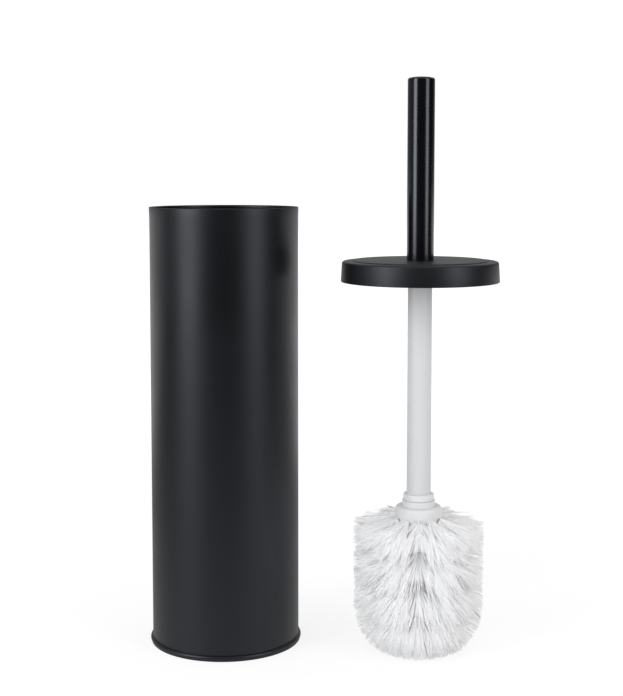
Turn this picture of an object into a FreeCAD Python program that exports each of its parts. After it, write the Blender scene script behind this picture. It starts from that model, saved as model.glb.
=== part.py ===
import FreeCAD, Part
import Sketcher
import math
import os

# Toilet brush holder: a tall round steel can with a drip cup inside it, and a brush whose
# lid, clamped between the handle and the stem, closes the can when the brush is put away.
# Here the brush stands on its own bristles beside the can.
# Millimetres, +Z up, z = 0 on the floor, the origin under the middle of the whole object.

SIZES = {
    # where the two upright axes stand
    "holder_axis_x": -59.0,
    "holder_axis_y": 11.6,
    "brush_axis_x": 58.4,
    "brush_axis_y": -11.0,
    # the can: a rolled tube, hemmed at the rim
    "shell_radius": 45.0,
    "shell_wall": 0.6,
    "shell_top": 267.0,
    "rim_radius": 45.25,
    "rim_bore_radius": 44.1,
    "rim_depth": 1.8,
    "rim_round": 0.5,
    # the pan that is seamed round the foot of the tube, and the ring under it
    "foot_ring_depth": 0.8,
    "foot_ring_radius": 45.9,
    "foot_ring_bore": 43.6,
    "seam_radius": 46.4,
    "seam_top": 3.4,
    "seam_web": 1.0,
    "seam_round": 1.1,
    "pan_floor": 3.0,
    "pan_wall": 0.6,
    # the drip cup
    "cup_foot_radius": 41.4,
    "cup_mouth_radius": 42.9,
    "cup_lip_radius": 43.6,
    "cup_lip_depth": 2.0,
    "cup_height": 90.0,
    "cup_wall": 1.3,
    "cup_floor": 1.6,
    "cup_corner": 3.0,
    # the lid
    "lid_bottom": 223.4,
    "lid_shoulder": 235.5,
    "lid_plateau_rise": 0.7,
    "lid_foot_radius": 47.0,
    "lid_top_radius": 46.3,
    "lid_plateau_radius": 39.9,
    "lid_wall": 0.8,
    "lid_corner": 1.4,
    "lid_hem_depth": 1.2,
    "lid_hem_wall": 1.2,
    "washer_radius": 11.0,
    "washer_depth": 2.0,
    # the handle
    "handle_radius": 8.0,
    "handle_wall": 1.0,
    "handle_top": 343.0,
    "handle_round": 1.4,
    "handle_lip_bore": 5.8,
    "handle_lip_depth": 1.6,
    "cap_face_radius": 5.5,
    "cap_rise": 0.5,
    "cap_flange_depth": 3.0,
    "insert_length": 20.0,
    # the stud through the lid
    "stud_radius": 3.0,
    "stud_up": 17.0,
    "stud_down": 18.0,
    # the stem and its collar
    "stem_radius": 7.2,
    "stem_wall": 1.2,
    "stem_bottom": 93.5,
    "plug_length": 22.0,
    "collar_bottom": 92.3,
    "collar_top": 96.2,
    "collar_radius": 9.1,
    "collar_round": 0.7,
    "collar_core_length": 15.0,
    "spigot_radius": 7.95,
    "spigot_length": 11.5,
    "dimple_radius": 1.2,
    "dimple_depth": 0.3,
    "dimple_height": 94.3,
    # the brush head
    "seam_gap": 0.1,
    "neck_radius": 9.75,
    "hub_radius": 13.9,
    "hub_top": 88.6,
    "hub_bottom": 18.0,
    "hub_round": 1.8,
    "hub_foot_round": 3.0,
    "socket_clearance": 0.05,
    "socket_depth": 13.0,
    "tuft_columns": 12,
    "tuft_column_turn": -4.0,
    "tuft_hole_radius": 2.1,
    "tuft_hole_depth": 4.0,
    "row_one_height": 80.3,
    "row_two_height": 61.8,
    "row_three_height": 44.1,
    "row_four_height": 26.2,
    "end_tufts": 6,
    "end_tuft_ring": 8.4,
    # the bristles' outer shape
    "bristle_radius": 39.4,
    "bristle_crown": 80.2,
    "bristle_turn": 29.7,
    "bristle_flat_radius": 18.5,
    "tuft_gap": 0.3,
    "last_row_spread": 120.0,
    "anchor_width": 3.4,
    "anchor_wire": 0.5,
}

ROWS = ("one", "two", "three", "four")


def make_sheet(doc):
    sheet = doc.addObject("Spreadsheet::Sheet", "Sizes")
    for line, (alias, value) in enumerate(SIZES.items(), start=1):
        sheet.set("A%d" % line, alias)
        sheet.set("B%d" % line, str(value))
        sheet.setAlias("B%d" % line, alias)
    doc.recompute()
    return sheet


def size(sheet, formula):
    """The value of a formula of the sheet's aliases, in millimetres or degrees."""
    value = sheet.evalExpression(formula)
    return float(getattr(value, "Value", value))


def bound(formula):
    """The same formula as another object has to write it, with the sheet named."""
    words = formula.replace("(", " ( ").replace(")", " ) ").split()
    return " ".join("Sizes." + word if word in SIZES else word for word in words)


def origin_plane(body, role):
    return next(part for part in body.Origin.OriginFeatures if part.Role == role)


def new_body(doc, name, axis):
    """An empty body that stands on the holder's axis or the brush's."""
    body = doc.addObject("PartDesign::Body", name)
    body.Label = name
    body.setExpression("Placement.Base.x", bound(axis + "_axis_x"))
    body.setExpression("Placement.Base.y", bound(axis + "_axis_y"))
    return body


def outline_sketch(body, name, sheet, corners):
    """A closed outline in the body's XZ plane; each corner is (radius, height) in formulas."""
    sketch = body.newObject("Sketcher::SketchObject", name)
    sketch.AttachmentSupport = (origin_plane(body, "XZ_Plane"), [""])
    sketch.MapMode = "FlatFace"
    points = [FreeCAD.Vector(size(sheet, radius), size(sheet, height), 0) for radius, height in corners]
    for index, point in enumerate(points):
        following = points[(index + 1) % len(points)]
        sketch.addGeometry(Part.LineSegment(point, following))
    for index in range(len(points)):
        following = (index + 1) % len(points)
        sketch.addConstraint(Sketcher.Constraint("Coincident", index, 2, following, 1))
    for index, (radius, height) in enumerate(corners):
        place(sketch, index, 1, "X", points[index].x, radius)
        place(sketch, index, 1, "Y", points[index].y, height)
    return sketch


def place(sketch, line, end, direction, value, formula):
    """Fix a line's end, or a circle's centre, at a formula's distance from the sketch's origin."""
    if abs(value) < 1e-9:
        axis = -2 if direction == "X" else -1
        sketch.addConstraint(Sketcher.Constraint("PointOnObject", line, end, axis))
        return
    number = sketch.addConstraint(Sketcher.Constraint("Distance" + direction, -1, 1, line, end, value))
    sketch.setExpression("Constraints[%d]" % number, bound(formula))


def turned(doc, name, axis, sheet, corners):
    """A body turned about its own upright axis."""
    body = new_body(doc, name, axis)
    sketch = outline_sketch(body, name + "_outline", sheet, corners)
    turn = body.newObject("PartDesign::Revolution", name + "_turn")
    turn.Profile = sketch
    turn.ReferenceAxis = (sketch, ["V_Axis"])
    turn.Angle = 360
    body.Tip = turn
    sketch.Visibility = False
    doc.recompute()
    return body


def round_edges(doc, body, sheet, radius, corners):
    """Round the circular edges that lie at the given corners of the outline."""
    wanted = [(size(sheet, across), size(sheet, up)) for across, up in corners]
    base = body.Tip
    names = []
    for number, edge in enumerate(base.Shape.Edges, start=1):
        if not isinstance(edge.Curve, Part.Circle):
            continue
        found = (edge.Curve.Radius, edge.Curve.Center.z)
        if any(math.dist(found, corner) < 0.01 for corner in wanted):
            names.append("Edge%d" % number)
    fillet = body.newObject("PartDesign::Fillet", body.Name + "_round_" + radius)
    fillet.Base = (base, names)
    fillet.setExpression("Radius", bound(radius))
    body.Tip = fillet
    doc.recompute()


def make_holder_shell(doc, sheet):
    bore = "shell_radius - shell_wall"
    foot = "foot_ring_depth + seam_web"
    hem = "shell_top - rim_depth"
    body = turned(doc, "holder_shell", "holder", sheet, [
        (bore, foot),
        ("shell_radius", foot),
        ("shell_radius", hem),
        ("rim_radius", hem),
        ("rim_radius", "shell_top"),
        ("rim_bore_radius", "shell_top"),
        ("rim_bore_radius", hem),
        (bore, hem),
    ])
    round_edges(doc, body, sheet, "rim_round", [("rim_radius", "shell_top"), ("rim_bore_radius", "shell_top")])


def make_base_pan(doc, sheet):
    web = "foot_ring_depth + seam_web"
    inside = "shell_radius - shell_wall"
    recess = inside + " - pan_wall"
    body = turned(doc, "base_pan", "holder", sheet, [
        ("0", "pan_floor"),
        (recess, "pan_floor"),
        (recess, "foot_ring_depth"),
        ("seam_radius", "foot_ring_depth"),
        ("seam_radius", "seam_top"),
        ("shell_radius", "seam_top"),
        ("shell_radius", web),
        (inside, web),
        (inside, "pan_floor + pan_wall"),
        ("0", "pan_floor + pan_wall"),
    ])
    round_edges(doc, body, sheet, "seam_round", [("seam_radius", "foot_ring_depth"), ("seam_radius", "seam_top")])


def make_foot_ring(doc, sheet):
    turned(doc, "foot_ring", "holder", sheet, [
        ("foot_ring_bore", "0"),
        ("foot_ring_radius - foot_ring_depth / 4", "0"),
        ("foot_ring_radius", "foot_ring_depth / 2"),
        ("foot_ring_radius - foot_ring_depth", "foot_ring_depth"),
        ("foot_ring_bore", "foot_ring_depth"),
    ])


def make_drip_cup(doc, sheet):
    bottom = "pan_floor + pan_wall"
    mouth = bottom + " + cup_height"
    lip = mouth + " - cup_lip_depth"
    body = turned(doc, "drip_cup", "holder", sheet, [
        ("0", bottom),
        ("cup_foot_radius", bottom),
        ("cup_mouth_radius", lip),
        ("cup_lip_radius", lip),
        ("cup_lip_radius", mouth),
        ("cup_mouth_radius - cup_wall", mouth),
        ("cup_foot_radius - cup_wall", bottom + " + cup_floor"),
        ("0", bottom + " + cup_floor"),
    ])
    round_edges(doc, body, sheet, "cup_corner", [("cup_foot_radius", bottom)])


def make_lid(doc, sheet):
    plateau = "lid_shoulder + lid_plateau_rise"
    ceiling = "lid_shoulder - lid_wall"
    skirt_bore = "lid_foot_radius - lid_hem_wall"
    body = turned(doc, "lid", "brush", sheet, [
        (skirt_bore, "lid_bottom"),
        ("lid_foot_radius", "lid_bottom"),
        ("lid_top_radius", "lid_shoulder"),
        ("lid_plateau_radius + lid_plateau_rise", "lid_shoulder"),
        ("lid_plateau_radius", plateau),
        ("stud_radius", plateau),
        ("stud_radius", plateau + " - lid_wall"),
        ("lid_plateau_radius - lid_plateau_rise", plateau + " - lid_wall"),
        ("lid_plateau_radius", ceiling),
        ("lid_top_radius - lid_wall", ceiling),
        ("lid_foot_radius - lid_wall", "lid_bottom + lid_hem_depth"),
        (skirt_bore, "lid_bottom + lid_hem_depth"),
    ])
    round_edges(doc, body, sheet, "lid_corner", [("lid_top_radius", "lid_shoulder")])


def make_lid_washer(doc, sheet):
    top = "lid_shoulder + lid_plateau_rise - lid_wall"
    turned(doc, "lid_washer", "brush", sheet, [
        ("stud_radius", top + " - washer_depth"),
        ("washer_radius", top + " - washer_depth"),
        ("washer_radius", top),
        ("stud_radius", top),
    ])


def make_handle_tube(doc, sheet):
    bottom = "lid_shoulder + lid_plateau_rise"
    bore = "handle_radius - handle_wall"
    body = turned(doc, "handle_tube", "brush", sheet, [
        (bore, bottom),
        ("handle_radius", bottom),
        ("handle_radius", "handle_top"),
        ("handle_lip_bore", "handle_top"),
        ("handle_lip_bore", "handle_top - handle_lip_depth"),
        (bore, "handle_top - handle_lip_depth"),
    ])
    round_edges(doc, body, sheet, "handle_round", [("handle_radius", "handle_top")])


def make_handle_cap(doc, sheet):
    """A plug pushed up inside the tube, whose face shows through the turned-in end."""
    ledge = "handle_top - handle_lip_depth"
    body = turned(doc, "handle_cap", "brush", sheet, [
        ("0", ledge + " - cap_flange_depth"),
        ("handle_radius - handle_wall", ledge + " - cap_flange_depth"),
        ("handle_radius - handle_wall", ledge),
        ("cap_face_radius", ledge),
        ("cap_face_radius", "handle_top + cap_rise"),
        ("0", "handle_top + cap_rise"),
    ])
    round_edges(doc, body, sheet, "cap_rise", [("cap_face_radius", "handle_top + cap_rise")])


def make_handle_insert(doc, sheet):
    bottom = "lid_shoulder + lid_plateau_rise"
    turned(doc, "handle_insert", "brush", sheet, [
        ("stud_radius", bottom),
        ("handle_radius - handle_wall", bottom),
        ("handle_radius - handle_wall", bottom + " + insert_length"),
        ("stud_radius", bottom + " + insert_length"),
    ])


def make_joining_stud(doc, sheet):
    middle = "lid_shoulder + lid_plateau_rise"
    stud = doc.addObject("Part::Cylinder", "joining_stud")
    stud.Label = "joining_stud"
    stud.setExpression("Radius", bound("stud_radius"))
    stud.setExpression("Height", bound("stud_up + stud_down"))
    stud.setExpression("Placement.Base.x", bound("brush_axis_x"))
    stud.setExpression("Placement.Base.y", bound("brush_axis_y"))
    stud.setExpression("Placement.Base.z", bound(middle + " - stud_down"))


def make_stem_tube(doc, sheet):
    top = "lid_shoulder + lid_plateau_rise - lid_wall - washer_depth"
    turned(doc, "stem_tube", "brush", sheet, [
        ("stem_radius - stem_wall", "stem_bottom"),
        ("stem_radius", "stem_bottom"),
        ("stem_radius", top),
        ("stem_radius - stem_wall", top),
    ])


def make_stem_plug(doc, sheet):
    top = "lid_shoulder + lid_plateau_rise - lid_wall - washer_depth"
    turned(doc, "stem_plug", "brush", sheet, [
        ("stud_radius", top + " - plug_length"),
        ("stem_radius - stem_wall", top + " - plug_length"),
        ("stem_radius - stem_wall", top),
        ("stud_radius", top),
    ])


def make_stem_collar(doc, sheet):
    """The fitting at the stem's foot: a core up into the stem and a screw spigot downwards."""
    body = turned(doc, "stem_collar", "brush", sheet, [
        ("0", "collar_bottom - spigot_length"),
        ("spigot_radius", "collar_bottom - spigot_length"),
        ("spigot_radius", "collar_bottom"),
        ("collar_radius", "collar_bottom"),
        ("collar_radius", "collar_top"),
        ("stem_radius", "collar_top"),
        ("stem_radius", "stem_bottom"),
        ("stem_radius - stem_wall", "stem_bottom"),
        ("stem_radius - stem_wall", "stem_bottom + collar_core_length"),
        ("0", "stem_bottom + collar_core_length"),
    ])
    round_edges(doc, body, sheet, "collar_round", [("collar_radius", "collar_top")])
    dimple = circle_sketch(
        body, "dimple_outline", "XZ_Plane", "collar_radius - dimple_depth", sheet,
        "dimple_radius", [("0", "dimple_height")])
    cut_away(doc, body, dimple, "dimple", True)


def circle_sketch(body, name, plane, offset, sheet, radius, centres):
    """Circles of one radius in a sketch off a plane of the body; each centre is two formulas."""
    sketch = body.newObject("Sketcher::SketchObject", name)
    sketch.AttachmentSupport = (origin_plane(body, plane), [""])
    sketch.MapMode = "FlatFace"
    sketch.setExpression("AttachmentOffset.Base.z", bound(offset))
    for index, (across, up) in enumerate(centres):
        centre = FreeCAD.Vector(size(sheet, across), size(sheet, up), 0)
        sketch.addGeometry(Part.Circle(centre, FreeCAD.Vector(0, 0, 1), size(sheet, radius)))
        number = sketch.addConstraint(Sketcher.Constraint("Radius", index, size(sheet, radius)))
        sketch.setExpression("Constraints[%d]" % number, bound(radius))
        place(sketch, index, 3, "X", centre.x, across)
        place(sketch, index, 3, "Y", centre.y, up)
    return sketch


def cut_away(doc, body, sketch, name, forwards):
    """A pocket from the sketch out through the surface, along its normal or against it."""
    before = body.Shape.Volume
    pocket = body.newObject("PartDesign::Pocket", name)
    pocket.Profile = sketch
    pocket.Type = "ThroughAll"
    pocket.Reversed = forwards
    body.Tip = pocket
    sketch.Visibility = False
    doc.recompute()
    if not pocket.Shape.Volume < before - 0.1:
        raise RuntimeError(name + " removes nothing")
    return pocket


def turn_round(doc, body, feature, count, name):
    """Repeat a feature round the body's upright axis."""
    pattern = body.newObject("PartDesign::PolarPattern", name)
    pattern.Originals = [feature]
    pattern.Axis = (origin_plane(body, "Z_Axis"), [""])
    pattern.Angle = 360
    pattern.setExpression("Occurrences", bound(count))
    body.Tip = pattern
    doc.recompute()


def make_head_hub(doc, sheet):
    """The moulded core of the brush head, with its screw socket and the tufts' holes."""
    socket = "spigot_radius + socket_clearance"
    neck_top = "collar_bottom - seam_gap"
    body = turned(doc, "head_hub", "brush", sheet, [
        ("0", "hub_bottom"),
        ("hub_radius", "hub_bottom"),
        ("hub_radius", "hub_top"),
        ("neck_radius", "hub_top"),
        ("neck_radius", neck_top),
        (socket, neck_top),
        (socket, neck_top + " - socket_depth"),
        ("0", neck_top + " - socket_depth"),
    ])
    round_edges(doc, body, sheet, "hub_round", [("hub_radius", "hub_top")])
    round_edges(doc, body, sheet, "hub_foot_round", [("hub_radius", "hub_bottom")])
    side = circle_sketch(
        body, "side_hole_outline", "XZ_Plane", "hub_radius - tuft_hole_depth", sheet,
        "tuft_hole_radius", [("0", "row_%s_height" % row) for row in ROWS])
    side_holes = cut_away(doc, body, side, "side_holes", True)
    turn_round(doc, body, side_holes, "tuft_columns", "side_hole_ring")
    floor = "hub_bottom + tuft_hole_depth"
    end = circle_sketch(
        body, "end_hole_outline", "XY_Plane", floor, sheet, "tuft_hole_radius", [("0", "0 - end_tuft_ring")])
    end_holes = cut_away(doc, body, end, "end_holes", False)
    turn_round(doc, body, end_holes, "end_tufts", "end_hole_ring")
    middle = circle_sketch(
        body, "middle_hole_outline", "XY_Plane", floor, sheet, "tuft_hole_radius", [("0", "0")])
    cut_away(doc, body, middle, "middle_hole", False)
    body.setExpression("Placement.Rotation.Angle", bound("tuft_column_turn") + " * 1 deg")


def bristle_envelope(sheet):
    """The outer shape of all the bristles: straight sides, and a rounded end with a flat tip."""
    radius = size(sheet, "bristle_radius")
    flat = size(sheet, "bristle_flat_radius")
    turn = size(sheet, "bristle_turn")
    crown = size(sheet, "bristle_crown")
    hub = size(sheet, "hub_top")
    slope = math.sqrt(0.5)
    shoulder = FreeCAD.Vector(flat + (radius - flat) * slope, 0, turn * (1 - slope))
    foot = FreeCAD.Vector(flat, 0, 0)
    side = FreeCAD.Vector(radius, 0, turn)
    top = FreeCAD.Vector(radius, 0, crown)
    axis_top = FreeCAD.Vector(0, 0, hub)
    axis_foot = FreeCAD.Vector(0, 0, 0)
    edges = [
        Part.LineSegment(axis_foot, foot).toShape(),
        Part.Arc(foot, shoulder, side).toShape(),
        Part.LineSegment(side, top).toShape(),
        Part.LineSegment(top, axis_top).toShape(),
        Part.LineSegment(axis_top, axis_foot).toShape(),
    ]
    face = Part.Face(Part.Wire(edges))
    return face.revolve(FreeCAD.Vector(0, 0, 0), FreeCAD.Vector(0, 0, 1), 360)


def rectangle(across, low, high, half_width):
    """An upright rectangle facing +X."""
    corners = [
        FreeCAD.Vector(across, -half_width, low),
        FreeCAD.Vector(across, half_width, low),
        FreeCAD.Vector(across, half_width, high),
        FreeCAD.Vector(across, -half_width, high),
    ]
    return Part.makePolygon(corners + corners[:1])


def side_tuft(sheet, root_height, low, high):
    """One tuft of a row: a root in the hub's hole and a fan that fills its share of the row."""
    hub = size(sheet, "hub_radius")
    root = size(sheet, "tuft_hole_radius") * math.sqrt(0.5) - 0.1
    inner = hub - size(sheet, "tuft_hole_depth") + size(sheet, "anchor_wire")
    reach = size(sheet, "bristle_radius") + 1
    share = math.pi / size(sheet, "tuft_columns")
    half_width = reach * math.tan(share) - size(sheet, "tuft_gap")
    root_wires = [rectangle(across, root_height - root, root_height + root, root) for across in (inner, hub)]
    fan_wires = [root_wires[1], rectangle(reach, low, high, half_width)]
    root_solid = Part.makeLoft(root_wires, True, True)
    fan_solid = Part.makeLoft(fan_wires, True, True)
    return root_solid.fuse(fan_solid)


def stand_on_brush_axis(feature, sheet):
    place_at = FreeCAD.Vector(size(sheet, "brush_axis_x"), size(sheet, "brush_axis_y"), 0)
    turn = FreeCAD.Rotation(FreeCAD.Vector(0, 0, 1), size(sheet, "tuft_column_turn") - 90)
    feature.Placement = FreeCAD.Placement(place_at, turn)


def ring_of(shape, count):
    """Copies of a shape, evenly turned about the upright axis."""
    copies = []
    for index in range(count):
        copy = shape.copy()
        copy.rotate(FreeCAD.Vector(0, 0, 0), FreeCAD.Vector(0, 0, 1), 360.0 * index / count)
        copies.append(copy)
    return copies


def row_bounds(sheet):
    """The heights that each row's fan spreads between where it meets the bristles' outside."""
    roots = [size(sheet, "row_%s_height" % row) for row in ROWS]
    gap = size(sheet, "tuft_gap")
    tops = [size(sheet, "hub_top")] + roots[1:]
    lows = [top + gap for top in tops[1:]] + [-size(sheet, "last_row_spread")]
    return list(zip(lows, tops))


def make_bristle_rows(doc, sheet):
    envelope = bristle_envelope(sheet)
    columns = int(size(sheet, "tuft_columns"))
    for number, (row, (low, high)) in enumerate(zip(ROWS, row_bounds(sheet)), start=1):
        tuft = side_tuft(sheet, size(sheet, "row_%s_height" % row), low, high)
        trimmed = tuft.common(envelope).Solids[0]
        feature = doc.addObject("Part::Feature", "bristle_row_%d" % number)
        feature.Label = "bristle_row_%d" % number
        feature.Shape = Part.makeCompound(ring_of(trimmed, columns))
        stand_on_brush_axis(feature, sheet)


def make_end_tufts(doc, sheet):
    """The tufts that point straight down from the hub's foot."""
    bottom = size(sheet, "hub_bottom")
    root_top = bottom + size(sheet, "tuft_hole_depth") - size(sheet, "anchor_wire")
    root = size(sheet, "tuft_hole_radius") - 0.1
    ring = size(sheet, "end_tuft_ring")
    tip = ring * math.sin(math.pi / size(sheet, "end_tufts")) - size(sheet, "tuft_gap") / 2
    upper = Part.makeCylinder(root, root_top - bottom, FreeCAD.Vector(0, 0, bottom))
    lower = Part.makeCone(tip, root, bottom)
    tuft = upper.fuse(lower)
    outer = tuft.copy()
    outer.translate(FreeCAD.Vector(ring, 0, 0))
    feature = doc.addObject("Part::Feature", "bristle_end_tufts")
    feature.Label = "bristle_end_tufts"
    feature.Shape = Part.makeCompound([tuft] + ring_of(outer, int(size(sheet, "end_tufts"))))
    stand_on_brush_axis(feature, sheet)


def make_tuft_anchors(doc, sheet):
    """A flat wire staple at the bottom of each tuft's hole."""
    width = size(sheet, "anchor_width")
    wire = size(sheet, "anchor_wire")
    inner = size(sheet, "hub_radius") - size(sheet, "tuft_hole_depth")
    deep = size(sheet, "hub_bottom") + size(sheet, "tuft_hole_depth")
    columns = int(size(sheet, "tuft_columns"))
    anchors = []
    for row in ROWS:
        height = size(sheet, "row_%s_height" % row)
        corner = FreeCAD.Vector(inner, -width / 2, height - wire)
        anchors += ring_of(Part.makeBox(wire, width, 2 * wire, corner), columns)
    flat = Part.makeBox(2 * wire, width, wire, FreeCAD.Vector(-wire, -width / 2, deep - wire))
    outer = flat.copy()
    outer.translate(FreeCAD.Vector(size(sheet, "end_tuft_ring"), 0, 0))
    anchors += [flat] + ring_of(outer, int(size(sheet, "end_tufts")))
    feature = doc.addObject("Part::Feature", "tuft_anchors")
    feature.Label = "tuft_anchors"
    feature.Shape = Part.makeCompound(anchors)
    stand_on_brush_axis(feature, sheet)


def check(doc):
    for part in doc.Objects:
        if "Invalid" in part.State or "Error" in part.State:
            raise RuntimeError(part.Name + " failed: " + str(part.State))


def pieces(doc):
    """The sub-parts: every body, and every shape that stands outside the bodies."""
    kinds = ("PartDesign::Body", "Part::Feature", "Part::Cylinder")
    return [part for part in doc.Objects if part.TypeId in kinds]


def export(doc):
    os.makedirs("parts", exist_ok=True)
    for part in pieces(doc):
        if part.Shape.isNull() or not part.Shape.isValid():
            raise RuntimeError(part.Label + " has no valid shape")
    for part in pieces(doc):
        part.Shape.exportStep("parts/%s.step" % part.Label)


def main():
    doc = FreeCAD.newDocument("ToiletBrushHolder")
    sheet = make_sheet(doc)
    makers = (
        make_holder_shell, make_base_pan, make_foot_ring, make_drip_cup,
        make_handle_tube, make_handle_cap, make_handle_insert, make_joining_stud,
        make_lid, make_lid_washer, make_stem_tube, make_stem_plug, make_stem_collar,
        make_head_hub, make_bristle_rows, make_end_tufts, make_tuft_anchors,
    )
    for make in makers:
        make(doc, sheet)
    doc.recompute()
    check(doc)
    export(doc)


main()
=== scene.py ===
import math
import random

import bmesh
import bpy
from mathutils import Matrix, Vector


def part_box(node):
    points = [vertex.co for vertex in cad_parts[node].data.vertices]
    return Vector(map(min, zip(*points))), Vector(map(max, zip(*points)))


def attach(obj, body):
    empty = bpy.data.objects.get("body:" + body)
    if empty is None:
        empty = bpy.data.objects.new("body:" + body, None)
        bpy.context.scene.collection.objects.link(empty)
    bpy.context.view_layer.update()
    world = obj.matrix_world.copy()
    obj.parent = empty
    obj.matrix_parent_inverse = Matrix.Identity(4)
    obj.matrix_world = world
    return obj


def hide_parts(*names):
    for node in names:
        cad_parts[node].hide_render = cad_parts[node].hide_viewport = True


bl_info = {
    "name": "Toilet Brush Holder",
    "version": (1, 0, 0),
    "blender": (4, 5, 0),
    "location": "View3D > Sidebar > Brush Holder",
    "description": "Dresses a toilet brush and its tall can, on a studio floor",
    "category": "Object",
}

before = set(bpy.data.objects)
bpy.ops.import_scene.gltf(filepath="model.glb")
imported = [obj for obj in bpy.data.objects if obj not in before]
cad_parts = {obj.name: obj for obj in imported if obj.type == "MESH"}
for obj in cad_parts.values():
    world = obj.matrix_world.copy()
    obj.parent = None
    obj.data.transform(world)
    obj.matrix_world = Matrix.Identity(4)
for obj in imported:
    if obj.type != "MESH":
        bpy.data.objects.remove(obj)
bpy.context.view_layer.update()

FRONT = math.radians(-90)
BACK = math.radians(90)

CUP_GREY = (0.035, 0.036, 0.038)
CAP_BLACK = (0.016, 0.016, 0.017)
RUBBER_BLACK = (0.018, 0.018, 0.018)
STEEL_DARK = (0.42, 0.42, 0.43)
STEEL_BRIGHT = (0.62, 0.62, 0.64)
DUST = (0.16, 0.16, 0.16, 1)
LACQUER_SHEEN = (0.86, 0.89, 0.98, 1)
WHITE = (1, 1, 1, 1)
PAPER = (0.80, 0.80, 0.80, 1)


# ---------------------------------------------------------------- settings


class CanSettings(bpy.types.PropertyGroup):
    """Sizes of the can that the looks add to the frame's."""

    wall: bpy.props.FloatProperty(
        name="Wall", description="Thickness of the rolled sheet", default=0.0006, unit="LENGTH")
    rim_wall: bpy.props.FloatProperty(
        name="Rim wall", description="Thickness of the hem at the rim", default=0.00115, unit="LENGTH")
    rim_depth: bpy.props.FloatProperty(
        name="Rim depth", description="How far down the hem reaches", default=0.0018, unit="LENGTH")
    seam_width: bpy.props.FloatProperty(
        name="Seam width", description="Width of the welded seam up the back", default=0.0011,
        unit="LENGTH")
    seam_depth: bpy.props.FloatProperty(
        name="Seam depth", description="How deep the welded seam sinks", default=0.00012, unit="LENGTH")
    colour: bpy.props.FloatVectorProperty(
        name="Lacquer", description="Colour of the can's black lacquer", subtype="COLOR",
        default=(0.0016, 0.0019, 0.0030), min=0, max=1)
    roughness: bpy.props.FloatProperty(
        name="Roughness", description="How satin the can's lacquer is", default=0.40, min=0, max=1,
        subtype="FACTOR")


class BrushSettings(bpy.types.PropertyGroup):
    """Sizes and colours of the brush's handle, lid, stem and head."""

    lid_wall: bpy.props.FloatProperty(
        name="Lid wall", description="Thickness of the lid's sheet", default=0.0008, unit="LENGTH")
    plateau_radius: bpy.props.FloatProperty(
        name="Plateau radius", description="Radius of the raised middle of the lid", default=0.0399,
        unit="LENGTH")
    plateau_rise: bpy.props.FloatProperty(
        name="Plateau rise", description="How far the lid's middle stands up", default=0.0007,
        unit="LENGTH")
    lid_corner: bpy.props.FloatProperty(
        name="Lid corner", description="Radius of the lid's pressed corner", default=0.0014, unit="LENGTH")
    lid_draft: bpy.props.FloatProperty(
        name="Lid draft", description="How much smaller the lid's radius is at its top", default=0.0007,
        unit="LENGTH")
    lid_colour: bpy.props.FloatVectorProperty(
        name="Lid lacquer", description="Colour of the lid's grained black lacquer", subtype="COLOR",
        default=(0.0018, 0.0021, 0.0030), min=0, max=1)
    handle_colour: bpy.props.FloatVectorProperty(
        name="Handle lacquer", description="Colour of the handle's glossier lacquer", subtype="COLOR",
        default=(0.0030, 0.0031, 0.0036), min=0, max=1)
    stem_colour: bpy.props.FloatVectorProperty(
        name="Stem", description="Colour of the stem's plastic", subtype="COLOR",
        default=(0.622, 0.630, 0.637), min=0, max=1)
    hub_colour: bpy.props.FloatVectorProperty(
        name="Hub", description="Colour of the head's moulded hub and the collar", subtype="COLOR",
        default=(0.685, 0.688, 0.692), min=0, max=1)


class BristleSettings(bpy.types.PropertyGroup):
    """How the tufts are filled and how their filaments lie."""

    filaments: bpy.props.IntProperty(
        name="Filaments", description="Filaments in each tuft", default=200, min=8)
    thickness: bpy.props.FloatProperty(
        name="Thickness", description="Diameter of a filament", default=0.00040, unit="LENGTH")
    columns: bpy.props.IntProperty(
        name="Columns", description="Tufts round the hub in each row", default=12, min=3)
    column_turn: bpy.props.FloatProperty(
        name="Column turn", description="How far the front tufts are turned off the front",
        default=math.radians(-4), subtype="ANGLE")
    seed: bpy.props.IntProperty(
        name="Seed", description="Seed of the filaments' scatter", default=7)
    colour: bpy.props.FloatVectorProperty(
        name="Bristle", description="Colour of the filaments", subtype="COLOR",
        default=(0.99, 0.99, 0.995), min=0, max=1)


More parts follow.
